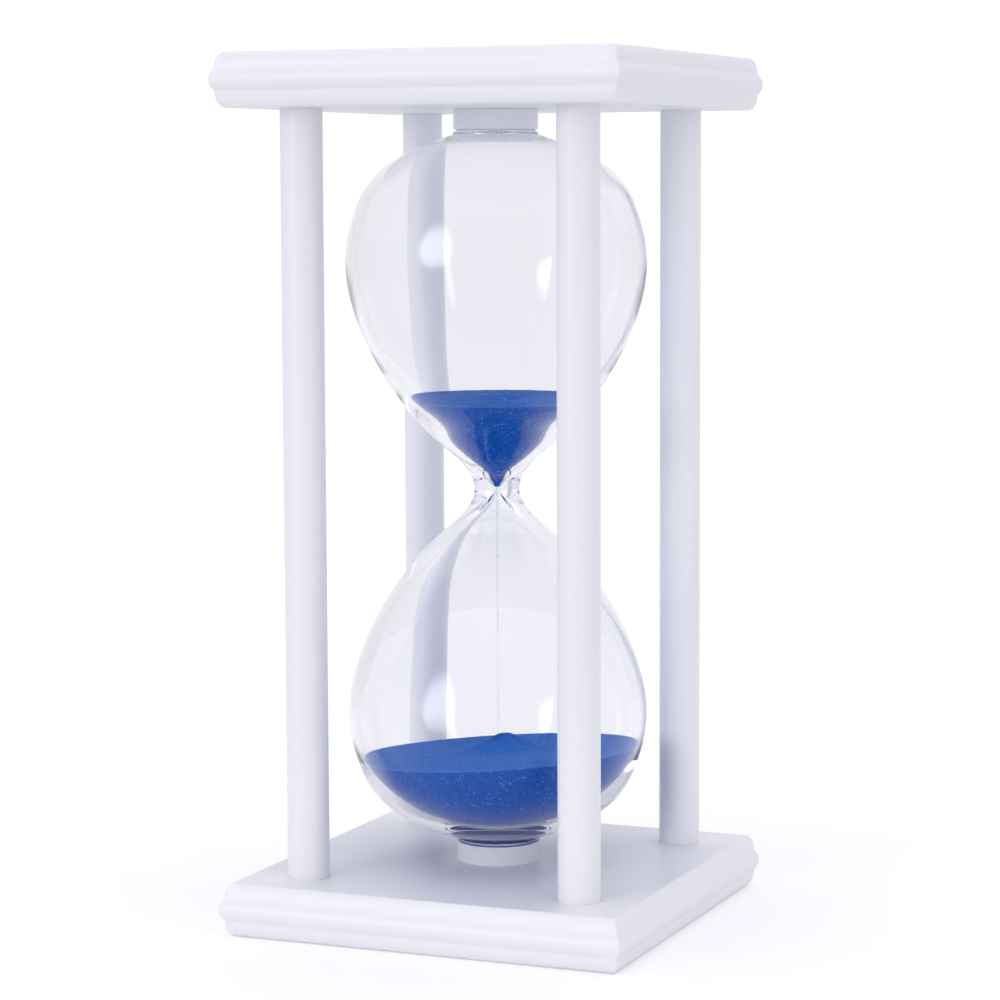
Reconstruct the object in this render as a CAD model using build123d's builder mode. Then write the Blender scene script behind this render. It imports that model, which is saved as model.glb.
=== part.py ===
from build123d import *
import os

# Sixty-minute sand timer: a free-standing wooden frame that holds one blown glass vessel.
# Frame of the part: millimetres, +Z up, origin at the middle of the underside, front towards -Y.

# ---- driving dimensions -------------------------------------------------------------------------
overall_height = 250.0
plate_width = 122.0
plate_thickness = 15.4

# moulded edge of both plates: quarter-round, proud half-round bead, quarter-round
quarter_round_depth = 2.2
quarter_round_height = 4.7
bead_proud = 1.2

post_diameter = 12.0
post_spacing = 83.4
socket_depth = 7.0
socket_clearance = 0.1

seat_diameter = 24.4
seat_height = 5.8
seat_edge_radius = 0.5
nub_hole_diameter = 10.4
washer_thickness = 0.4
washer_diameter = 22.8

neck_radius = 6.5
throat_radius = 0.5
throat_half_length = 1.0
belly_radius = 43.6
belly_height = 66.0
belly_wall = 1.3
top_inside_height = 102.0
bottom_inside_height = 99.2
foot_radius = 12.3
foot_edge_height = 1.0
foot_edge_radius = 0.7
nub_radius = 4.0
nub_length = 4.5
nub_edge_radius = 1.0
fill_bore_radius = 2.2
plug_head_radius = 3.4
plug_head_height = 1.2
plug_length = 6.0

sand_clearance = 0.08
upper_sand_level = 151.3
crater_radius = 9.0
crater_depth = 5.0
crater_tip_radius = 0.5
lower_sand_level = 48.0
lower_sand_rise_x = 0.071
lower_sand_rise_y = -0.019
mound_x = 1.8
mound_y = 0.8
mound_radius = 13.0
mound_height = 5.2
mound_sunk = 1.0
mound_tip_radius = 2.4
stream_radius = 0.35

# ---- sizes worked out from those above ----------------------------------------------------------
half_height = overall_height / 2
half_width = plate_width / 2
quarter_round_reach = half_width - bead_proud
face_half_width = quarter_round_reach - quarter_round_depth
post_radius = post_diameter / 2
post_length = overall_height - 2 * (plate_thickness - socket_depth)
seat_radius = seat_diameter / 2
nub_hole_radius = nub_hole_diameter / 2
foot_height = half_height - plate_thickness - seat_height - washer_thickness
nub_end = foot_height + nub_length
fall_start = half_height + throat_half_length
fall_end = lower_sand_level + mound_height

# section through the vessel: across is the radius, and up is the height from the throat
throat_section = Plane(origin=(0, 0, half_height), x_dir=(1, 0, 0), z_dir=(0, -1, 0))

# Height from the throat and radius of the walls, from the throat round the belly to the foot. The
# bulbs are alike outside. Inside, the glass is thicker under the lower bulb than over the upper.
outer_wall = [
    (4, 7.6),
    (9, 11.6),
    (16, 19.6),
    (25, 27.4),
    (37, 35.0),
    (51, 41.1),
    (belly_height, belly_radius),
    (80, 41.0),
    (89, 36.4),
    (94.5, 30.3),
    (98, 24.2),
    (100.6, 17.8),
    (foot_height - foot_edge_height, foot_radius),
]
inner_bulb = [
    (1.2, 0.8),
    (4.5, 3.0),
    (8, 6.4),
    (12, 10.5),
    (18, 17.0),
    (25.5, 24.7),
    (33, 30.2),
    (40, 34.4),
    (51, 39.2),
    (belly_height, belly_radius - belly_wall),
    (79, 39.9),
]
inner_top = [(88, 35.6), (93.4, 29.6), (97, 23.6), (99.9, 16.4), (101.6, 9.0), (top_inside_height, 3)]
inner_bottom = [(88.6, 33.8), (95, 24.4), (98.4, 14.0), (bottom_inside_height, 4.0)]


# ---- wooden frame -------------------------------------------------------------------------------
def moulded_section(plane, base_level):
    """Section of a plate across its full width, with the moulding down both edges."""
    top = base_level + plate_thickness
    middle = base_level + plate_thickness / 2
    upper_step = top - quarter_round_height
    lower_step = base_level + quarter_round_height
    with BuildSketch(plane) as section:
        with BuildLine():
            Line((0, base_level), (face_half_width, base_level))
            EllipticalCenterArc(
                (face_half_width, lower_step), quarter_round_depth, quarter_round_height, 270
            )
            ThreePointArc(
                (quarter_round_reach, lower_step),
                (half_width, middle),
                (quarter_round_reach, upper_step),
            )
            EllipticalCenterArc(
                (face_half_width, upper_step), quarter_round_depth, quarter_round_height, 0
            )
            Polyline((face_half_width, top), (0, top), (0, base_level))
        make_face()
        mirror(about=Plane.YZ)
    return section.sketch


def make_plate(base_level, socket_floor, label):
    """A square plate, mitred at its corners, with four blind sockets for the posts."""
    with BuildPart() as plate:
        extrude(moulded_section(Plane.XZ, base_level), amount=half_width, both=True)
        extrude(
            moulded_section(Plane.YZ, base_level),
            amount=half_width,
            both=True,
            mode=Mode.INTERSECT,
        )
        with BuildSketch(Plane.XY.offset(socket_floor)):
            with GridLocations(post_spacing, post_spacing, 2, 2):
                Circle(post_radius + socket_clearance)
        extrude(amount=socket_depth, mode=Mode.SUBTRACT)
    plate.part.label = label
    return plate.part


def make_post(x, y, label):
    """A plain round dowel, glued into both plates."""
    with BuildPart() as post:
        with BuildSketch(Plane.XY.offset(plate_thickness - socket_depth)):
            with Locations((x, y)):
                Circle(post_radius)
        extrude(amount=post_length)
        chamfer(post.edges().filter_by(GeomType.CIRCLE), length=0.5)
    post.part.label = label
    return post.part


# ---- seats for the glass ------------------------------------------------------------------------
def make_seat(base_level, glass_side, hole_radius, label):
    """A turned disc glued to the plate, eased towards the glass; no hole if its radius is zero."""
    with BuildPart() as seat:
        with BuildSketch(Plane.XY.offset(base_level)):
            Circle(seat_radius)
            if hole_radius > 0:
                Circle(hole_radius, mode=Mode.SUBTRACT)
        extrude(amount=seat_height)
        fillet(seat.faces().sort_by(Axis.Z)[glass_side].outer_wire().edges(), seat_edge_radius)
    seat.part.label = label
    return seat.part


def make_washer(base_level, hole_radius, label):
    """Thin rubber between a seat and the foot of the glass: a pad, or a ring if it has a hole."""
    with BuildPart() as washer:
        with BuildSketch(Plane.XY.offset(base_level)):
            Circle(washer_diameter / 2)
            if hole_radius > 0:
                Circle(hole_radius, mode=Mode.SUBTRACT)
        extrude(amount=washer_thickness)
    washer.part.label = label
    return washer.part


# ---- glass vessel -------------------------------------------------------------------------------
def wall_spline(throat, upper_wall, lower_wall):
    """The line of a wall as (radius, height), from the lower foot through the throat to the upper."""
    lower_bulb = [(radius, -height) for height, radius in reversed(lower_wall)]
    upper_bulb = [(radius, height) for height, radius in upper_wall]
    return lower_bulb + [(throat, 0)] + upper_bulb


def moved_inwards(wall, distance):
    """The wall line moved square to itself towards the inside of the bulbs."""
    moved = []
    for before, point, after in zip(wall[:1] + wall, wall, wall[1:] + wall[-1:]):
        run, climb = after[0] - before[0], after[1] - before[1]
        length = (run**2 + climb**2) ** 0.5
        moved.append((point[0] - distance * climb / length, point[1] + distance * run / length))
    return moved


def half_section(wall):
    """The flat area between a wall line and the axis of the vessel."""
    with BuildSketch(throat_section) as half:
        with BuildLine():
            Spline(wall)
            Polyline(wall[-1], (0, wall[-1][1]), (0, wall[0][1]), wall[0])
        make_face()
    return half.sketch


def make_vessel():
    """Two bulbs blown in one piece, thick at the neck and feet, filled through the upper nub."""
    wall_end, wall_end_radius = outer_wall[-1]
    with BuildPart() as vessel:
        revolve(half_section(wall_spline(neck_radius, outer_wall, outer_wall)), axis=Axis.Z)
        for side in (-1, 1):
            outwards = Axis((0, 0, 0), (0, 0, side))
            foot = Plane((0, 0, half_height + side * wall_end), z_dir=(0, 0, side))
            with BuildSketch(foot):
                Circle(wall_end_radius)
            extrude(amount=foot_edge_height)
            fillet(vessel.faces().sort_by(outwards)[-1].edges(), foot_edge_radius)
        with BuildSketch(Plane.XY.offset(half_height + foot_height)):
            Circle(nub_radius)
        extrude(amount=nub_length)
        fillet(vessel.faces().sort_by(Axis.Z)[-1].edges(), nub_edge_radius)
        revolve(half_section(inner_line), axis=Axis.Z, mode=Mode.SUBTRACT)
        with BuildSketch(Plane.XY.offset(half_height + nub_end)):
            Circle(fill_bore_radius)
        extrude(amount=-(nub_end - top_inside_height + 1.0), mode=Mode.SUBTRACT)
    vessel.part.label = "glass_vessel"
    return vessel.part


def make_plug():
    """The stopper of the filling hole, its head lying in the hole of the upper seat."""
    nub_level = half_height + nub_end
    with BuildPart() as plug:
        with BuildSketch(Plane.XY.offset(nub_level)):
            Circle(plug_head_radius)
        extrude(amount=plug_head_height)
        with BuildSketch(Plane.XY.offset(nub_level)):
            Circle(fill_bore_radius)
        extrude(amount=-plug_length)
    plug.part.label = "fill_plug"
    return plug.part


# ---- sand ---------------------------------------------------------------------------------------
def make_upper_sand():
    """What is left to run, with the crater over the throat that running sand has."""
    surface = Plane.XY.offset(upper_sand_level)
    with BuildPart() as sand:
        revolve(half_section(moved_inwards(inner_line, sand_clearance)), axis=Axis.Z)
        split(bisect_by=surface, keep=Keep.BOTTOM)
        split(bisect_by=Plane.XY.offset(fall_start), keep=Keep.TOP)
        with Locations(surface.offset(-crater_depth / 2)):
            Cone(crater_tip_radius, crater_radius, crater_depth, mode=Mode.SUBTRACT)
    sand.part.label = "upper_sand"
    return sand.part


def make_lower_sand():
    """What has run through: a level that has settled on a slant, and a low mound on it."""
    surface = Plane((0, 0, lower_sand_level), z_dir=(-lower_sand_rise_x, -lower_sand_rise_y, 1))
    mound_base = Location((mound_x, mound_y, lower_sand_level - mound_sunk))
    with BuildPart() as sand:
        revolve(half_section(moved_inwards(inner_line, sand_clearance)), axis=Axis.Z)
        split(bisect_by=surface, keep=Keep.BOTTOM)
        with Locations(mound_base):
            Cone(
                mound_radius,
                mound_tip_radius,
                mound_sunk + mound_height,
                align=(Align.CENTER, Align.CENTER, Align.MIN),
            )
    sand.part.label = "lower_sand"
    return sand.part


def make_stream():
    """The thread of sand that falls from the throat to the mound."""
    with BuildPart() as stream:
        with BuildSketch(Plane.XY.offset(fall_end)):
            Circle(stream_radius)
        extrude(amount=fall_start - fall_end)
    stream.part.label = "sand_stream"
    return stream.part


# ---- assembly -----------------------------------------------------------------------------------
inner_line = wall_spline(throat_radius, inner_bulb + inner_top, inner_bulb + inner_bottom)
top_plate_underside = overall_height - plate_thickness
half_spacing = post_spacing / 2
lower_washer_level = plate_thickness + seat_height
upper_washer_level = half_height + foot_height

pieces = [
    make_plate(0, plate_thickness - socket_depth, "base_plate"),
    make_plate(top_plate_underside, top_plate_underside, "top_plate"),
    make_post(-half_spacing, -half_spacing, "post_front_left"),
    make_post(half_spacing, -half_spacing, "post_front_right"),
    make_post(-half_spacing, half_spacing, "post_back_left"),
    make_post(half_spacing, half_spacing, "post_back_right"),
    make_seat(plate_thickness, -1, 0, "lower_seat"),
    make_seat(top_plate_underside - seat_height, 0, nub_hole_radius, "upper_seat"),
    make_washer(lower_washer_level, 0, "lower_washer"),
    make_washer(upper_washer_level, nub_hole_radius, "upper_washer"),
    make_vessel(),
    make_plug(),
    make_upper_sand(),
    make_stream(),
    make_lower_sand(),
]

os.makedirs("parts", exist_ok=True)
for piece in pieces:
    export_step(piece, f"parts/{piece.label}.step")
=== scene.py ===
"""Sixty-minute sand timer: the looks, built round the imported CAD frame.

Metres, +Z up, front towards -Y, origin at the middle of the underside, as in the frame.
"""
import math

import bmesh
import bpy
import numpy as np
from mathutils import Matrix, Vector


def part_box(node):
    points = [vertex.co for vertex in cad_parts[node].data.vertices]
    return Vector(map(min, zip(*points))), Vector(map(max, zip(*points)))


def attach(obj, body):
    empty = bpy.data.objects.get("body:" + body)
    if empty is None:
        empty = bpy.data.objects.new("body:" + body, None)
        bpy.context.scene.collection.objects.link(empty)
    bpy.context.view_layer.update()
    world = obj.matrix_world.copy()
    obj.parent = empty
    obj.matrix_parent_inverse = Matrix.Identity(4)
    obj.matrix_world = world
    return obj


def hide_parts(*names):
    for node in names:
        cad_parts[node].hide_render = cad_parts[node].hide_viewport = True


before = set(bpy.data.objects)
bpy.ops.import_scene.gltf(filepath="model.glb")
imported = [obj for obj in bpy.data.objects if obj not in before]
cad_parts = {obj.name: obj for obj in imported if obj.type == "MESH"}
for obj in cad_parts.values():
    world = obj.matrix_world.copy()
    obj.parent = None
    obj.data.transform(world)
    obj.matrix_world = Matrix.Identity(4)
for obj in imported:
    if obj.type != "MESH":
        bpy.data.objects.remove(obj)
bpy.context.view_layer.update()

MM = 0.001
BODY = "root"

# ---- sizes read from the frame ------------------------------------------------------------------
base_low, base_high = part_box("base_plate")
top_low, top_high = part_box("top_plate")
vessel_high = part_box("glass_vessel")[1]
upper_washer_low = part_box("upper_washer")[0]
plug_low, plug_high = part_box("fill_plug")
stream_low, stream_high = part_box("sand_stream")
upper_sand_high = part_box("upper_sand")[1]

overall_height = top_high.z
half_height = overall_height / 2
plate_thickness = base_high.z - base_low.z
half_width = base_high.x
nub_end = vessel_high.z - half_height
foot_height = upper_washer_low.z - half_height

# ---- details that the frame does not list, in millimetres ---------------------------------------
quarter_round_depth = 2.2
quarter_round_height = 4.7
bead_proud = 1.2
arris_radius = 0.35
mitre_radius = 0.7
socket_depth = 7.0
socket_clearance = 0.1
seat_edge_radius = 0.3
nub_hole_radius = 5.2
post_end_chamfer = 0.5
nub_radius = 4.0
nub_edge_radius = 1.0
foot_edge_radius = 0.7
foot_radius = 12.3
fill_bore_radius = 2.2
piece_gap = 0.03
rubber_press = 0.01
small_edge = 0.3
plug_neck_edge = 0.2
plug_top_edge = 0.4

# Height from the throat and radius of the walls, from the throat round to the foot. The bulbs are
# alike outside; inside, the glass is thicker under the lower bulb than over the upper one.
outer_wall = [
    (4, 7.6), (9, 11.6), (16, 19.6), (25, 27.4), (37, 35.0), (51, 41.1), (66, 43.6), (80, 41.0),
    (89, 36.4), (94.5, 30.3), (98, 24.2), (100.6, 17.8), (102.4, 12.3),
]
inner_bulb = [
    (1.2, 0.8), (4.5, 3.0), (8, 6.4), (12, 10.5), (18, 17.0), (25.5, 24.7), (33, 30.2),
    (40, 34.4), (51, 39.2), (66, 42.3), (79, 39.9),
]
inner_top = [(88, 35.6), (93.4, 29.6), (97, 23.6), (99.9, 16.4), (101.6, 9.0), (102, 3.0)]
inner_bottom = [(88.6, 33.8), (95.0, 24.4), (98.4, 14.0), (99.2, 4.0)]
neck_radius = 6.5
throat_radius = 0.5
throat_half_length = 1.0

sand_clearance = 0.08
crater_radius = 9.0
crater_depth = 5.0
lower_sand_level = 48.0
lower_sand_rise = (0.071, -0.019)
mound_x = 1.8
mound_y = 0.8
mound_radius = 19.0
mound_height = 3.2
mound_cap_radius = 3.8
mound_cap_height = 2.1
sand_roughness = 0.07
# Widths of the painted highlight at the sand's rim: up the glass and across the open top.
wall_painted_rim_width = 0.5
surface_painted_rim_width = 0.6

# The stream: its grains, how far it spreads at the top and how much more at the bottom, how far it
# may go sideways, and how far it keeps above the end of its CAD node.
grain_sizes = (0.040, 0.068)
stream_spread = (0.06, 0.20)
stream_limit = 0.4
stream_end_gap = 0.2

# ---- counts, powers and shares ------------------------------------------------------------------
socket_sides = 48
sand_sides = 220
sand_wall_rows = 70
sand_surface_rows = 90
grain_count = 500
grain_stretch = 1.5
crater_power = 1.3
fall_power = 1.4
wall_row_power = 0.8
# Painted light laid over the whole open sand surface, making it lighter than the sides.
open_surface_painted_light = 0.42

NEARLY_STRAIGHT = -0.97
PAINT = (0.85, 0.852, 0.88)
PAINT_SHADE = 0.955
RANDOM_SEED = 60


# ---- curves and meshes --------------------------------------------------------------------------
def natural_spline(points, steps):
    """Points along a smooth line through the given ones, numbered by the distances between them."""
    points = np.array(points, float)
    count = len(points)
    gaps = np.linalg.norm(np.diff(points, axis=0), axis=1)
    knots = np.concatenate([[0.0], np.cumsum(gaps)])
    system = np.eye(count)
    right_side = np.zeros_like(points)
    for i in range(1, count - 1):
        before, after = gaps[i - 1], gaps[i]
        system[i, i - 1:i + 2] = before, 2 * (before + after), after
        slope_after = (points[i + 1] - points[i]) / after
        slope_before = (points[i] - points[i - 1]) / before
        right_side[i] = 6 * (slope_after - slope_before)
    bends = np.linalg.solve(system, right_side)
    line = []
    for t in np.linspace(0, knots[-1], steps):
        i = min(np.searchsorted(knots, t, side="right") - 1, count - 2)
        gap, ahead, behind = gaps[i], knots[i + 1] - t, t - knots[i]
        line.append(
            bends[i] * ahead**3 / (6 * gap)
            + bends[i + 1] * behind**3 / (6 * gap)
            + (points[i] / gap - bends[i] * gap / 6) * ahead
            + (points[i + 1] / gap - bends[i + 1] * gap / 6) * behind
        )
    return np.array(line)


def both_bulbs(throat, upper_wall, lower_wall, steps, inset):
    """A wall as (radius, height from the throat), from the lower foot to the upper foot, in metres.

    The inset moves the line off the wall, towards the inside of the bulbs.
    """
    upper = [(radius, height) for height, radius in upper_wall]
    lower = [(radius, -height) for height, radius in reversed(lower_wall)]
    line = natural_spline(lower + [(throat, 0.0)] + upper, steps)
    along = np.gradient(line, axis=0)
    inwards = np.column_stack([-along[:, 1], along[:, 0]])
    inwards /= np.linalg.norm(inwards, axis=1, keepdims=True)
    return (line + inset * inwards) * MM


def outside_line(steps):
    """The outer face of the glass."""
    return both_bulbs(neck_radius, outer_wall, outer_wall, steps, 0.0)


def inside_line(steps, inset=0.0):
    """The inner face of the glass, or a line a little inside it."""
    upper_wall, lower_wall = inner_bulb + inner_top, inner_bulb + inner_bottom
    return both_bulbs(throat_radius, upper_wall, lower_wall, steps, inset)


def arc(centre, reach, start, end, steps):
    """Points on an upright elliptical arc; the angles are in degrees."""
    angles = np.radians(np.linspace(start, end, steps))
    return [
        (centre[0] + reach[0] * math.cos(a), centre[1] + reach[1] * math.sin(a)) for a in angles
    ]


def eased(points, radius):
    """The outline with every sharp corner turned into a small curve, as thick paint does."""
    points = [np.array(p, float) for p in points]
    line = [points[0]]
    for before, corner, after in zip(points, points[1:], points[2:]):
        back, ahead = before - corner, after - corner
        reach_back, reach_ahead = np.linalg.norm(back), np.linalg.norm(ahead)
        turn = np.dot(back, ahead) / (reach_back * reach_ahead)
        if turn < NEARLY_STRAIGHT:
            line.append(corner)
            continue
        start = corner + back / reach_back * min(radius, reach_back * 0.45)
        end = corner + ahead / reach_ahead * min(radius, reach_ahead * 0.45)
        for t in (0.0, 0.25, 0.5, 0.75, 1.0):
            line.append((1 - t) ** 2 * start + 2 * t * (1 - t) * corner + t * t * end)
    line.append(points[-1])
    return line


def finished_mesh(name, vertices, faces, smooth_angle):
    """A mesh piece with faces pointing outwards, smooth but for edges sharper than the angle."""
    mesh = bpy.data.meshes.new(name)
    mesh.from_pydata([tuple(v) for v in vertices], [], faces)
    shape = bmesh.new()
    shape.from_mesh(mesh)
    bmesh.ops.recalc_face_normals(shape, faces=shape.faces)
    shape.to_mesh(mesh)
    shape.free()
    mesh.shade_smooth()
    mesh.set_sharp_from_angle(angle=math.radians(smooth_angle))
    piece = bpy.data.objects.new(name, mesh)
    bpy.context.scene.collection.objects.link(piece)
    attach(piece, BODY)
    return piece


def weighted(piece):
    """Keeps large flat faces flat next to small rounded edges."""
    modifier = piece.modifiers.new("flat_faces", "WEIGHTED_NORMAL")
    modifier.keep_sharp = True
    return piece


def lathe(name, outline, segments, centre=(0.0, 0.0), looped=False, smooth_angle=35.0):
    """Turns an outline of (radius, height) points about a vertical line through the centre.

    An outline with both ends on the axis gives a solid; a looped one gives a ring.
    """
    vertices, faces, rows = [], [], []
    for radius, height in outline:
        if radius < 1e-7 and not looped:
            rows.append([len(vertices)])
            vertices.append((centre[0], centre[1], height))
            continue
        row = []
        for k in range(segments):
            angle = 2 * math.pi * k / segments
            row.append(len(vertices))
            vertices.append(
                (centre[0] + radius * math.cos(angle), centre[1] + radius * math.sin(angle), height)
            )
        rows.append(row)
    pairs = list(zip(rows, rows[1:]))
    if looped:
        pairs.append((rows[-1], rows[0]))
    for lower, upper in pairs:
        for k in range(segments):
            after = (k + 1) % segments
            if len(lower) == 1 and len(upper) == 1:
                continue
            if len(lower) == 1:
                faces.append((lower[0], upper[after], upper[k]))
            elif len(upper) == 1:
                faces.append((lower[k], lower[after], upper[0]))
            else:
                faces.append((lower[k], lower[after], upper[after], upper[k]))
    return finished_mesh(name, vertices, faces, smooth_angle)


# ---- materials ----------------------------------------------------------------------------------
class Nodes:
    """A material's node tree, with short calls for the nodes that the materials here use."""

    def __init__(self, name):
        self.material = bpy.data.materials.new(name)
        self.material.use_nodes = True
        self.tree = self.material.node_tree
        self.tree.nodes.clear()
        self.output = self.tree.nodes.new("ShaderNodeOutputMaterial")
        self.place = self.tree.nodes.new("ShaderNodeTexCoord").outputs["Object"]

    def add(self, kind, links=None, values=None, **settings):
        node = self.tree.nodes.new(kind)
        for key, value in settings.items():
            setattr(node, key, value)
        for key, value in (values or {}).items():
            node.inputs[key].default_value = value
        for key, source in (links or {}).items():
            self.tree.links.new(source, node.inputs[key])
        return node

    def stretched(self, scale):
        """Object coordinates, multiplied along each axis."""
        return self.add("ShaderNodeMapping", {"Vector": self.place}, {"Scale": scale}).outputs[0]

    def noise(self, scale, detail, roughness, place=None):
        values = {"Scale": scale, "Detail": detail, "Roughness": roughness}
        node = self.add("ShaderNodeTexNoise", {"Vector": place or self.place}, values)
        return node.outputs["Fac"]

    def ramp(self, source, stops):
        """Colours or grey levels against a value from 0 to 1."""
        node = self.add("ShaderNodeValToRGB", {"Fac": source})
        elements = node.color_ramp.elements
        while len(elements) < len(stops):
            elements.new(0.5)
        for element, (position, colour) in zip(elements, stops):
            element.position = position
            element.color = (*colour, 1.0) if len(colour) == 3 else colour
        return node.outputs["Color"]

    def span(self, source, low, high, start=0.0, end=1.0):
        """The value moved from the range start-end to the range low-high."""
        values = {"From Min": start, "From Max": end, "To Min": low, "To Max": high}
        return self.add("ShaderNodeMapRange", {"Value": source}, values).outputs["Result"]

    def bump(self, height, strength, distance, normal=None):
        links = {"Height": height}
        if normal is not None:
            links["Normal"] = normal
        values = {"Strength": strength, "Distance": distance}
        return self.add("ShaderNodeBump", links, values).outputs["Normal"]

    def finish(self, shader):
        self.tree.links.new(shader, self.output.inputs["Surface"])
        return self.material


def white_paint(name, grain):
    """Satin white paint over wood: faint raised grain, brush marks and slight sheen changes."""
    nodes = Nodes(name)
    along = nodes.stretched(grain)
    grain_lines = nodes.noise(1.0, 4.0, 0.55, along)
    orange_peel = nodes.noise(900.0, 2.0, 0.5)
    clouds = nodes.noise(14.0, 0.0, 0.5)
    shaded = tuple(PAINT_SHADE * part for part in PAINT)
    colour = nodes.ramp(clouds, [(0.0, shaded), (1.0, PAINT)])
    ridges = nodes.bump(grain_lines, 0.16, 0.00010)
    surface = nodes.bump(orange_peel, 0.10, 0.00005, ridges)
    shader = nodes.add(
        "ShaderNodeBsdfPrincipled",
        {
            "Base Color": colour,
            "Roughness": nodes.span(clouds, 0.33, 0.40),
            "Normal": surface,
        },
        {"IOR": 1.48},
    )
    return nodes.finish(shader.outputs[0])


def clear_glass(name):
    """Clear blown glass with the slow waves of its making.

    Shadow and diffuse rays pass straight through. The specular tint makes its reflections dimmer
    than those of real glass.
    """
    nodes = Nodes(name)
    waves = nodes.noise(55.0, 2.0, 0.4, nodes.stretched((1.0, 1.0, 0.6)))
    ripples = nodes.noise(260.0, 2.0, 0.5, nodes.stretched((0.5, 0.5, 1.6)))
    surface = nodes.bump(ripples, 0.04, 0.00003, nodes.bump(waves, 0.10, 0.00012))
    glass = nodes.add(
        "ShaderNodeBsdfPrincipled",
        {"Normal": surface},
        {
            "Base Color": (0.982, 0.983, 0.990, 1.0),
            "Roughness": 0.0,
            "IOR": 1.5,
            "Specular Tint": (0.3, 0.3, 0.3, 1.0),
            "Transmission Weight": 1.0,
        },
    )
    clear = nodes.add("ShaderNodeBsdfTransparent", values={"Color": (0.955, 0.960, 0.975, 1.0)})
    path = nodes.add("ShaderNodeLightPath")
    soft = nodes.add("ShaderNodeMixShader", {0: path.outputs["Is Diffuse Ray"]})
    nodes.tree.links.new(glass.outputs[0], soft.inputs[1])
    nodes.tree.links.new(clear.outputs[0], soft.inputs[2])
    lit = nodes.add("ShaderNodeMixShader", {0: path.outputs["Is Shadow Ray"]})
    nodes.tree.links.new(soft.outputs[0], lit.inputs[1])
    nodes.tree.links.new(clear.outputs[0], lit.inputs[2])
    return nodes.finish(lit.outputs[0])


def blue_sand(name):
    """Dyed quartz grains: each its own blue, with a few painted glints, and painted light that makes
    the sand lighter along the glass and over the open top.

    Inputs 6 and 7 of a colour Mix node are its two colours, and output 2 is the mixed one.
    """
    nodes = Nodes(name)
    grains = nodes.add("ShaderNodeTexVoronoi", {"Vector": nodes.place}, {"Scale": 4600.0})
    each = nodes.add("ShaderNodeSeparateColor", {"Color": grains.outputs["Color"]})
    # Painted glints: a few grains, picked by these cells, are painted a lighter blue as if catching
    # the light.
    glint_cells = nodes.add("ShaderNodeTexVoronoi", {"Vector": nodes.place}, {"Scale": 3300.0})
    glint = nodes.add("ShaderNodeSeparateColor", {"Color": glint_cells.outputs["Color"]})
    drifts = nodes.noise(120.0, 4.0, 0.6)
    body = nodes.ramp(
        each.outputs[0],
        [(0.0, (0.001, 0.046, 0.30)), (0.5, (0.002, 0.076, 0.42)), (1.0, (0.008, 0.132, 0.58))],
    )
    shaded = nodes.add(
        "ShaderNodeMix",
        {"Factor": nodes.span(drifts, 0.0, 0.55, 0.35, 0.75), 6: body},
        {7: (0.006, 0.100, 0.44, 1.0)},
        data_type="RGBA",
    )
    painted_glint_mask = nodes.ramp(glint.outputs[1], [(0.976, (0.0, 0.0, 0.0)), (0.988, (1.0, 1.0, 1.0))])
    sand_with_painted_glints = nodes.add(
        "ShaderNodeMix",
        {"Factor": painted_glint_mask, 6: shaded.outputs[2]},
        {7: (0.16, 0.36, 0.80, 1.0)},
        data_type="RGBA",
    )
    # Painted light: the rim attribute makes the sand lighter along the glass and over the open top.
    edge = nodes.add("ShaderNodeAttribute", attribute_name="rim").outputs["Fac"]
    sand_with_painted_light = nodes.add(
        "ShaderNodeMix",
        {"Factor": nodes.span(edge, 0.0, 0.75), 6: sand_with_painted_glints.outputs[2]},
        {7: (0.045, 0.26, 0.80, 1.0)},
        data_type="RGBA",
    )
    facets = nodes.bump(grains.outputs["Distance"], 0.8, 0.00014)
    shader = nodes.add(
        "ShaderNodeBsdfPrincipled",
        {
            "Base Color": sand_with_painted_light.outputs[2],
            "Roughness": nodes.span(each.outputs[2], 0.30, 0.80),
            "Normal": facets,
        },
        {"IOR": 1.54, "Specular IOR Level": 0.05},
    )
    return nodes.finish(shader.outputs[0])


def soft_rubber(name, light, dark):
    """Silicone with a dull moulded skin, between two near shades."""
    nodes = Nodes(name)
    skin = nodes.noise(700.0, 3.0, 0.6)
    colour = nodes.ramp(skin, [(0.3, dark), (0.7, light)])
    shader = nodes.add(
        "ShaderNodeBsdfPrincipled",
        {
            "Base Color": colour,
            "Roughness": nodes.span(skin, 0.5, 0.7),
            "Normal": nodes.bump(skin, 0.2, 0.00004),
        },
        {"Subsurface Weight": 0.2, "Subsurface Scale": 0.001},
    )
    return nodes.finish(shader.outputs[0])


def plain_floor(name):
    """A matt pale floor with a weak glow of its own, stronger where the camera sees it directly."""
    nodes = Nodes(name)
    cast = nodes.noise(3.0, 2.0, 0.5)
    colour = nodes.ramp(cast, [(0.3, (0.84, 0.84, 0.85)), (0.7, (0.86, 0.86, 0.87))])
    path = nodes.add("ShaderNodeLightPath")
    shader = nodes.add(
        "ShaderNodeBsdfPrincipled",
        {
            "Base Color": colour,
            "Emission Strength": nodes.span(
                path.outputs["Is Camera Ray"], FLOOR_GLOW, FLOOR_GLOW_SEEN
            ),
        },
        {"Roughness": 0.9, "IOR": 1.3, "Emission Color": (1.0, 1.0, 1.0, 1.0)},
    )
    return nodes.finish(shader.outputs[0])


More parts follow.
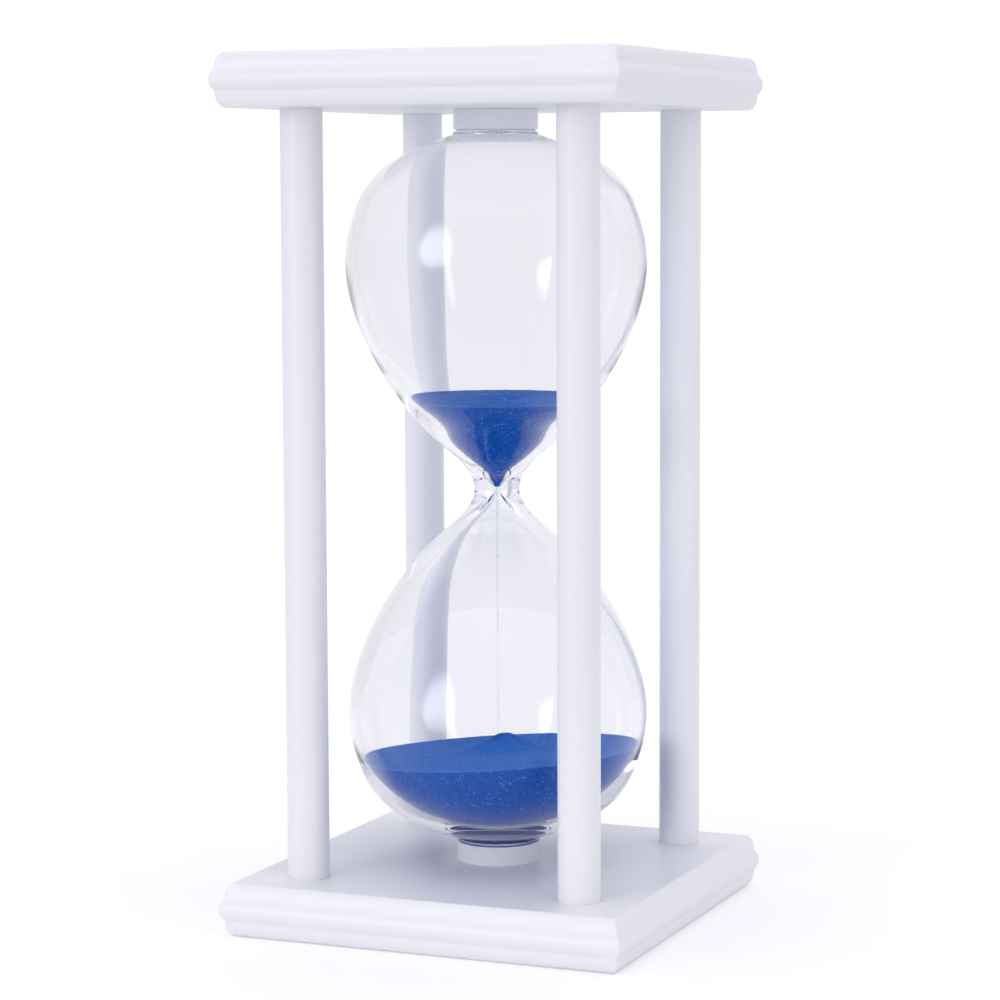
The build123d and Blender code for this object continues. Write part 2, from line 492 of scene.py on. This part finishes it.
# ---- wooden frame -------------------------------------------------------------------------------
def moulding_outline():
    """The plate's edge as (half width, height), from the lower face to the upper, in metres."""
    thickness = plate_thickness / MM
    widest = half_width / MM
    reach = widest - bead_proud
    face_edge = reach - quarter_round_depth
    low_step = quarter_round_height
    high_step = thickness - quarter_round_height
    depths = (quarter_round_depth, quarter_round_height)
    bead_half = (high_step - low_step) / 2
    bead_radius = (bead_proud**2 + bead_half**2) / (2 * bead_proud)
    bead_angle = math.degrees(math.asin(bead_half / bead_radius))
    bead_centre = (widest - bead_radius, thickness / 2)
    outline = arc((face_edge, low_step), depths, 270, 360, 12)[:-1]
    outline += arc(bead_centre, (bead_radius, bead_radius), -bead_angle, bead_angle, 15)
    outline += arc((face_edge, high_step), depths, 0, 90, 12)[1:]
    return [p * MM for p in eased(outline, arris_radius)]


def square_ring(half, height):
    """One level of a plate: a square with each mitre softened by a small round corner."""
    radius = mitre_radius * MM
    ring = []
    for quarter, (side_x, side_y) in enumerate([(1, 1), (-1, 1), (-1, -1), (1, -1)]):
        centre = Vector((side_x * (half - radius), side_y * (half - radius), height))
        for step in range(6):
            angle = math.radians(90 * quarter + 18 * step)
            ring.append(centre + radius * Vector((math.cos(angle), math.sin(angle), 0)))
    return ring


def plate(name, low, inner_side):
    """A moulded square plate with a blind socket round each post on its inner side."""
    shape = bmesh.new()
    rings = []
    for half, height in moulding_outline():
        rings.append([shape.verts.new(v) for v in square_ring(half, low + height)])
    for lower, upper in zip(rings, rings[1:]):
        for k in range(len(lower)):
            after = (k + 1) % len(lower)
            shape.faces.new((lower[k], lower[after], upper[after], upper[k]))
    inner_ring = rings[-1] if inner_side > 0 else rings[0]
    outer_ring = rings[0] if inner_side > 0 else rings[-1]
    shape.faces.new(outer_ring)
    level = low + plate_thickness if inner_side > 0 else low
    rim_edges = [
        shape.edges.get((inner_ring[k], inner_ring[(k + 1) % len(inner_ring)]))
        for k in range(len(inner_ring))
    ]
    for centre, post_radius in posts.values():
        mouth, bottom = [], []
        for k in range(socket_sides):
            angle = 2 * math.pi * k / socket_sides
            out = (post_radius + socket_clearance * MM) * Vector((math.cos(angle), math.sin(angle), 0))
            mouth.append(shape.verts.new(Vector((centre.x, centre.y, level)) + out))
            depth = level - inner_side * socket_depth * MM
            bottom.append(shape.verts.new(Vector((centre.x, centre.y, depth)) + out))
        for k in range(socket_sides):
            after = (k + 1) % socket_sides
            shape.faces.new((mouth[k], mouth[after], bottom[after], bottom[k]))
            rim_edges.append(shape.edges.get((mouth[k], mouth[after])))
        shape.faces.new(bottom)
    bmesh.ops.triangle_fill(shape, use_beauty=True, edges=rim_edges, normal=(0, 0, inner_side))
    vertices = [v.co.copy() for v in shape.verts]
    shape.verts.index_update()
    faces = [[v.index for v in f.verts] for f in shape.faces]
    shape.free()
    return weighted(finished_mesh(name, vertices, faces, 40.0))


def post(name, centre, radius, low, high):
    """A turned dowel with its ends eased to enter the sockets."""
    ease = post_end_chamfer * MM
    outline = [(0, low), (radius - ease, low), (radius, low + ease)]
    heights = np.linspace(low + ease, high - ease, 24)[1:-1]
    outline += [(radius, z) for z in heights]
    outline += [(radius, high - ease), (radius - ease, high), (0, high)]
    return lathe(name, outline, 72, (centre.x, centre.y))


def disc(name, low, high, rim, hole_radius=0.0):
    """A turned disc from its lower face to its upper, with the given rim and perhaps a hole."""
    if hole_radius > 0:
        outline = [(hole_radius, low)] + rim + [(hole_radius, high)]
        return lathe(name, outline, 112, looped=True)
    return lathe(name, [(0.0, low)] + rim + [(0.0, high)], 112)


def seat(name, low, high, hole_radius=0.0):
    """A painted disc between the plate and the glass, with both edges of its rim eased."""
    ease = seat_edge_radius * MM
    outer = high.x - ease
    rim = arc((outer, low.z + ease), (ease, ease), -90, 0, 6)
    rim += arc((outer, high.z - ease), (ease, ease), 0, 90, 6)
    return weighted(disc(name, low.z, high.z, rim, hole_radius))


def washer(name, low, high, glass_side, hole_radius=0.0):
    """Thin soft rubber with a rounded rim, clear of the seat and pressed a little into the glass.

    The glass side is 1 where the glass is above the rubber and -1 where it is below.
    """
    gap, reach = piece_gap * MM, (piece_gap + rubber_press) * MM
    bottom = low.z + gap if glass_side > 0 else low.z - reach
    top = high.z + reach if glass_side > 0 else high.z - gap
    bulge = (top - bottom) / 2
    rim = arc((high.x - bulge, (bottom + top) / 2), (bulge, bulge), -90, 90, 7)
    return disc(name, bottom, top, rim, hole_radius)


# ---- glass --------------------------------------------------------------------------------------
def vessel():
    """Both bulbs, neck, feet and filling nub as one glass wall, open only at the filling hole."""
    outside = outside_line(190)
    inside = inside_line(190)
    foot, nub = foot_radius * MM, nub_radius * MM
    easing, nub_easing = foot_edge_radius * MM, nub_edge_radius * MM
    bore = fill_bore_radius * MM
    foot_level = foot_height - piece_gap * MM
    rim = arc((foot - easing, foot_level - easing), (easing, easing), 0, 90, 6)
    tip = arc((nub - nub_easing, nub_end - nub_easing), (nub_easing, nub_easing), 0, 90, 7)
    outline = [(0.0, -foot_level)] + [(radius, -height) for radius, height in rim[::-1]]
    outline += [tuple(p) for p in outside] + rim
    nub_corner = small_edge * MM
    outline += [(nub + nub_corner, foot_level), (nub, foot_level + nub_corner)]
    outline += tip + [(bore, nub_end)]
    outline += [(bore, h) for h in np.linspace(nub_end, inside[-1][1], 8)[1:]]
    outline += [tuple(p) for p in inside[::-1]] + [(0.0, inside[0][1])]
    outline = [(radius, half_height + height) for radius, height in outline]
    return lathe("glass_body", outline, 176, smooth_angle=50.0)


def plug():
    """The stopper: a shank in the bore and a flat head over the nub, with its edges cut off."""
    gap = piece_gap * MM
    shank, head = fill_bore_radius * MM - gap, plug_high.x
    low_edge, neck_edge, top_edge = small_edge * MM, plug_neck_edge * MM, plug_top_edge * MM
    seat_level = half_height + nub_end + gap
    outline = [(0, plug_low.z), (shank - low_edge, plug_low.z), (shank, plug_low.z + low_edge)]
    outline += [(shank, seat_level), (head - neck_edge, seat_level), (head, seat_level + neck_edge)]
    outline += [(head, plug_high.z - top_edge), (head - top_edge, plug_high.z), (0, plug_high.z)]
    return lathe("stopper", outline, 64)


# ---- sand ---------------------------------------------------------------------------------------
def sand_body(name, wall, surface):
    """Sand in a bulb: against the glass from its bottom point to its rim, then its open surface.

    The wall is (radius, height) from the bottom up; surface gives the height over a point.
    """
    random = np.random.default_rng(RANDOM_SEED)
    bottom = wall[0][1]
    lengths = np.concatenate([[0.0], np.cumsum(np.linalg.norm(np.diff(wall, axis=0), axis=1))])
    vertices, painted_light_levels, rows = [(0.0, 0.0, bottom)], [0.0], []
    angles = np.linspace(0, 2 * math.pi, sand_sides, endpoint=False)
    ends = []
    for angle in angles:
        over = [z - surface(r * math.cos(angle), r * math.sin(angle)) for r, z in wall]
        first = next(i for i, rise in enumerate(over) if rise > 0)
        share = over[first - 1] / (over[first - 1] - over[first])
        ends.append(lengths[first - 1] + share * (lengths[first] - lengths[first - 1]))
    for step in range(sand_wall_rows + 1):
        row = []
        for angle, end in zip(angles, ends):
            along = end * (step / sand_wall_rows) ** wall_row_power
            radius = np.interp(along, lengths, wall[:, 0])
            height = np.interp(along, lengths, wall[:, 1])
            row.append(len(vertices))
            vertices.append((radius * math.cos(angle), radius * math.sin(angle), height))
            painted_light_levels.append(max(0.0, 1 - (end - along) / (wall_painted_rim_width * MM)))
        rows.append(row)
    for step in range(1, sand_surface_rows + 1):
        inwards = 1 - step / (sand_surface_rows + 1)
        row = []
        for angle, end in zip(angles, ends):
            edge = np.interp(end, lengths, wall[:, 0])
            radius = edge * inwards
            x, y = radius * math.cos(angle), radius * math.sin(angle)
            bumps = random.normal(0, sand_roughness * MM)
            row.append(len(vertices))
            vertices.append((x, y, surface(x, y) + bumps))
            near_glass = 1 - (edge - radius) / (surface_painted_rim_width * MM)
            painted_light_levels.append(max(open_surface_painted_light, near_glass))
        rows.append(row)
    top = len(vertices)
    vertices.append((0.0, 0.0, surface(0.0, 0.0)))
    painted_light_levels.append(open_surface_painted_light)
    faces = []
    for k in range(sand_sides):
        after = (k + 1) % sand_sides
        faces.append((0, rows[0][after], rows[0][k]))
        faces.append((rows[-1][k], rows[-1][after], top))
        for lower, upper in zip(rows, rows[1:]):
            faces.append((lower[k], lower[after], upper[after], upper[k]))
    piece = finished_mesh(name, vertices, faces, 60.0)
    # The rim attribute holds painted light: a lighter band at the rim and a lighter open top.
    attribute = piece.data.attributes.new("rim", "FLOAT", "POINT")
    attribute.data.foreach_set("value", painted_light_levels)
    return piece


def upper_sand():
    """The sand still to run: level, with a shallow crater over the throat."""
    walls = inside_line(420, sand_clearance)
    wall = np.array([p for p in walls if p[1] >= throat_half_length * MM])
    wall[:, 1] += half_height
    level = upper_sand_high.z

    def surface(x, y):
        middle = math.hypot(x, y) / (crater_radius * MM)
        return level - crater_depth * MM * max(0.0, 1 - middle) ** crater_power

    return sand_body("sand_left_to_run", wall, surface)


def lower_sand():
    """The sand that has run: settled on a slant, with a small mound under the stream."""
    walls = inside_line(420, sand_clearance)
    wall = np.array([p for p in walls if p[1] < -20 * MM])
    wall[:, 1] += half_height

    def surface(x, y):
        middle = math.hypot(x - mound_x * MM, y - mound_y * MM) / MM
        slope = lower_sand_level * MM + lower_sand_rise[0] * x + lower_sand_rise[1] * y
        rise = mound_height * (1 + math.cos(math.pi * min(1.0, middle / mound_radius))) / 2
        cap = mound_cap_height / (1 + (middle / mound_cap_radius) ** 4)
        return slope + (rise + cap) * MM

    return sand_body("sand_run_through", wall, surface)


def stream():
    """The falling thread: loose grains that draw apart as they fall."""
    random = np.random.default_rng(RANDOM_SEED + 1)
    template = bmesh.new()
    bmesh.ops.create_icosphere(template, subdivisions=1, radius=1.0)
    points = [v.co.copy() for v in template.verts]
    template.verts.index_update()
    shape = [[v.index for v in f.verts] for f in template.faces]
    template.free()
    vertices, faces = [], []
    low, high = stream_low.z, stream_high.z
    limit = stream_limit * MM
    for _ in range(grain_count):
        fallen = random.random() ** fall_power
        spread = (stream_spread[0] + stream_spread[1] * fallen) * MM
        aside, along = random.normal(0, spread), random.normal(0, spread)
        centre = Vector((aside, along, high - fallen * (high - low)))
        centre.x = max(-limit, min(limit, centre.x))
        centre.y = max(-limit, min(limit, centre.y))
        centre.z = max(low + stream_end_gap * MM, centre.z)
        size = random.uniform(*grain_sizes) * MM
        start = len(vertices)
        for p in points:
            vertices.append(centre + size * Vector((p.x, p.y, p.z * grain_stretch)))
        faces += [[start + i for i in face] for face in shape]
    return finished_mesh("falling_sand", vertices, faces, 80.0)


# ---- camera, floor and light --------------------------------------------------------------------
BACK_LEVEL = 0.88
FRONT_LEVEL = 0.88
RIGHT_SHARE = 0.90
LEFT_SHARE = 0.78
OVERHEAD_SHARE = 1.35
OPENING_DARKNESS = 0.95
OPENING_SEEN_THROUGH = 0.3
KEY_LEVEL = 17.0
STRIP_LEVEL = 6.0
SOFT_GAIN = 0.93
SOFT_LAMP_SHARE = 0.22
FLOOR_GLOW = 0.09
FLOOR_GLOW_SEEN = 0.21

VIEW_AZIMUTH = 22.688
VIEW_ELEVATION = 5.861
VIEW_ROLL = -0.225
VIEW_DISTANCE = 902.858
VIEW_ASIDE = 0.852
VIEW_BELOW = -3.416
LENS_PER_SENSOR = 3.09909


def camera():
    """A long lens a little above the middle of the timer, looking past its front right corner."""
    azimuth, elevation = math.radians(VIEW_AZIMUTH), math.radians(VIEW_ELEVATION)
    back = Vector(
        (
            math.sin(azimuth) * math.cos(elevation),
            -math.cos(azimuth) * math.cos(elevation),
            math.sin(elevation),
        )
    )
    right = Vector((math.cos(azimuth), math.sin(azimuth), 0))
    up = back.cross(right)
    turn = Matrix((right, up, back)).transposed() @ Matrix.Rotation(math.radians(VIEW_ROLL), 3, "Z")
    data = bpy.data.cameras.new("camera")
    data.sensor_width = 36.0
    data.lens = LENS_PER_SENSOR * data.sensor_width
    holder = bpy.data.objects.new("camera", data)
    place = turn @ Vector((VIEW_ASIDE, VIEW_BELOW, VIEW_DISTANCE)) * MM
    place.z += half_height
    holder.matrix_world = Matrix.Translation(place) @ turn.to_4x4()
    bpy.context.scene.collection.objects.link(holder)
    bpy.context.scene.camera = holder


def around(degrees, height_degrees):
    """A direction that many degrees to the right of the camera's own, and up from level."""
    angle = math.radians(VIEW_AZIMUTH + degrees)
    height = math.radians(height_degrees)
    return Vector(
        (math.sin(angle) * math.cos(height), -math.cos(angle) * math.cos(height), math.sin(height))
    )


def studio():
    """A white light tent, open and dark round the camera, with a soft lamp each side of it.

    Only sharp rays, which are those of the glass, meet the dark opening and the full lamps. The soft
    rays of the other materials get SOFT_GAIN of the tent and SOFT_LAMP_SHARE of the lamps.
    """
    world = bpy.data.worlds.new("studio")
    bpy.context.scene.world = world
    world.use_nodes = True
    tree = world.node_tree
    tree.nodes.clear()
    output = tree.nodes.new("ShaderNodeOutputWorld")
    room = tree.nodes.new("ShaderNodeBackground")
    plain = tree.nodes.new("ShaderNodeBackground")
    plain.inputs["Color"].default_value = (1.0, 1.0, 1.0, 1.0)
    plain.inputs["Strength"].default_value = 1.05
    choose = tree.nodes.new("ShaderNodeMixShader")
    path = tree.nodes.new("ShaderNodeLightPath")
    direction = tree.nodes.new("ShaderNodeTexCoord").outputs["Generated"]

    def math_node(operation, *inputs):
        node = tree.nodes.new("ShaderNodeMath")
        node.operation = operation
        for socket, value in zip(node.inputs, inputs):
            if isinstance(value, (int, float)):
                socket.default_value = value
            else:
                tree.links.new(value, socket)
        return node.outputs[0]

    def along(axis):
        node = tree.nodes.new("ShaderNodeVectorMath")
        node.operation = "DOT_PRODUCT"
        tree.links.new(direction, node.inputs[0])
        node.inputs[1].default_value = axis
        return node.outputs["Value"]

    def span(source, start, end, low, high):
        node = tree.nodes.new("ShaderNodeMapRange")
        node.interpolation_type = "SMOOTHSTEP"
        tree.links.new(source, node.inputs["Value"])
        node.inputs["From Min"].default_value = start
        node.inputs["From Max"].default_value = end
        node.inputs["To Min"].default_value = low
        node.inputs["To Max"].default_value = high
        return node.outputs["Result"]

    def patch(degrees, height_degrees, half_wide, half_high, softness, squareness=2.0):
        """1 inside a rounded patch of the surroundings and 0 outside; its sizes are in degrees."""
        centre = around(degrees, height_degrees)
        turn = math.radians(VIEW_AZIMUTH + degrees)
        right = Vector((math.cos(turn), math.sin(turn), 0))
        up = centre.cross(right)
        across = math_node("ABSOLUTE", along(right / math.sin(math.radians(half_wide))))
        tall = math_node("ABSOLUTE", along(up / math.sin(math.radians(half_high))))
        spread = math_node(
            "ADD",
            math_node("POWER", across, squareness),
            math_node("POWER", tall, squareness),
        )
        inside = span(spread, 1 - softness, 1 + softness, 1.0, 0.0)
        return math_node("MULTIPLY", inside, math_node("GREATER_THAN", along(centre), 0.0))

    level = span(along(around(0, 0)), -1.0, 1.0, BACK_LEVEL, FRONT_LEVEL)
    level = math_node("MULTIPLY", level, span(along(around(90, 0)), 0.0, 1.0, 1.0, RIGHT_SHARE))
    level = math_node("MULTIPLY", level, span(along(around(-90, 0)), 0.0, 1.0, 1.0, LEFT_SHARE))
    level = math_node("MULTIPLY", level, span(along((0, 0, 1)), 0.2, 1.0, 1.0, OVERHEAD_SHARE))
    sharp = path.outputs["Is Singular Ray"]
    through = span(path.outputs["Is Transmission Ray"], 0.0, 1.0, 1.0, OPENING_SEEN_THROUGH)
    darkness = math_node("MULTIPLY", span(sharp, 0.0, 1.0, 0.0, OPENING_DARKNESS), through)
    opening = math_node("MULTIPLY", patch(0, -8, 38, 44, 0.5, 4.0), darkness)
    level = math_node("MULTIPLY", level, math_node("SUBTRACT", 1.0, opening))
    lamps = math_node(
        "ADD",
        math_node("MULTIPLY", patch(-48, 12, 11.5, 14, 0.9), KEY_LEVEL),
        math_node("MULTIPLY", patch(40, 20, 2.4, 34, 0.7, 3.0), STRIP_LEVEL),
    )
    level = math_node("MULTIPLY", level, span(sharp, 0.0, 1.0, SOFT_GAIN, 1.0))
    lamps = math_node("MULTIPLY", lamps, span(sharp, 0.0, 1.0, SOFT_LAMP_SHARE, 1.0))
    level = math_node("ADD", level, lamps)
    room.inputs["Color"].default_value = (1.0, 1.0, 1.06, 1.0)
    tree.links.new(level, room.inputs["Strength"])
    tree.links.new(path.outputs["Is Camera Ray"], choose.inputs[0])
    tree.links.new(room.outputs[0], choose.inputs[1])
    tree.links.new(plain.outputs[0], choose.inputs[2])
    tree.links.new(choose.outputs[0], output.inputs["Surface"])


def floor():
    """The floor that the timer stands on: square to the camera, and short on the camera's side."""
    forwards, sideways = around(0, 0), around(90, 0)
    corners = [
        toward * forwards + aside * sideways
        for toward, aside in ((0.17, -0.7), (0.17, 0.7), (-0.9, 0.7), (-0.9, -0.7))
    ]
    mesh = bpy.data.meshes.new("floor")
    mesh.from_pydata(corners, [], [(0, 1, 2, 3)])
    sheet = bpy.data.objects.new("floor", mesh)
    bpy.context.scene.collection.objects.link(sheet)
    sheet.data.materials.append(plain_floor("pale_floor"))


# ---- assembly -----------------------------------------------------------------------------------
def dress(piece, material, *nodes):
    """Gives the piece its material and hides the CAD nodes it stands for."""
    piece.data.materials.clear()
    piece.data.materials.append(material)
    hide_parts(*nodes)


posts = {}
for post_name in ("post_front_left", "post_front_right", "post_back_left", "post_back_right"):
    post_low, post_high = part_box(post_name)
    posts[post_name] = ((post_low + post_high) / 2, (post_high.x - post_low.x) / 2)

camera()
studio()
floor()

paint_across = white_paint("white_paint_plates", (60.0, 420.0, 420.0))
paint_upright = white_paint("white_paint_posts", (900.0, 900.0, 40.0))
glass = clear_glass("blown_glass")
sand = blue_sand("dyed_sand")
milky_rubber = soft_rubber("milky_silicone", (0.80, 0.81, 0.85), (0.74, 0.75, 0.80))
# The lower pad's navy is painted shade and reflection: it stands in for the dark blue under the glass
# foot.
navy_rubber_painted_shade = soft_rubber("navy_silicone_painted_shade", (0.150, 0.260, 0.660), (0.120, 0.210, 0.560))

dress(plate("moulded_base", base_low.z, 1), paint_across, "base_plate")
dress(plate("moulded_top", top_low.z, -1), paint_across, "top_plate")
for post_name, (centre, radius) in posts.items():
    low_end, high_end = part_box(post_name)
    dowel = post(post_name.replace("post", "dowel"), centre, radius, low_end.z, high_end.z)
    dress(dowel, paint_upright, post_name)
nub_hole = nub_hole_radius * MM
dress(seat("seat_below", *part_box("lower_seat")), paint_across, "lower_seat")
dress(seat("seat_above", *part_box("upper_seat"), nub_hole), paint_across, "upper_seat")
# Painted shade: the navy pad makes the dark blue crescent under the glass foot.
dress(washer("pad_below", *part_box("lower_washer"), 1), navy_rubber_painted_shade, "lower_washer")
ring = washer("ring_above", *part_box("upper_washer"), -1, nub_hole)
dress(ring, milky_rubber, "upper_washer")
dress(vessel(), glass, "glass_vessel")
dress(plug(), milky_rubber, "fill_plug")
dress(upper_sand(), sand, "upper_sand")
dress(lower_sand(), sand, "lower_sand")
dress(stream(), sand, "sand_stream")

scene = bpy.context.scene
scene.view_settings.view_transform = "Standard"
scene.cycles.max_bounces = 40
scene.cycles.glossy_bounces = 32
scene.cycles.transmission_bounces = 32
scene.cycles.transparent_max_bounces = 32
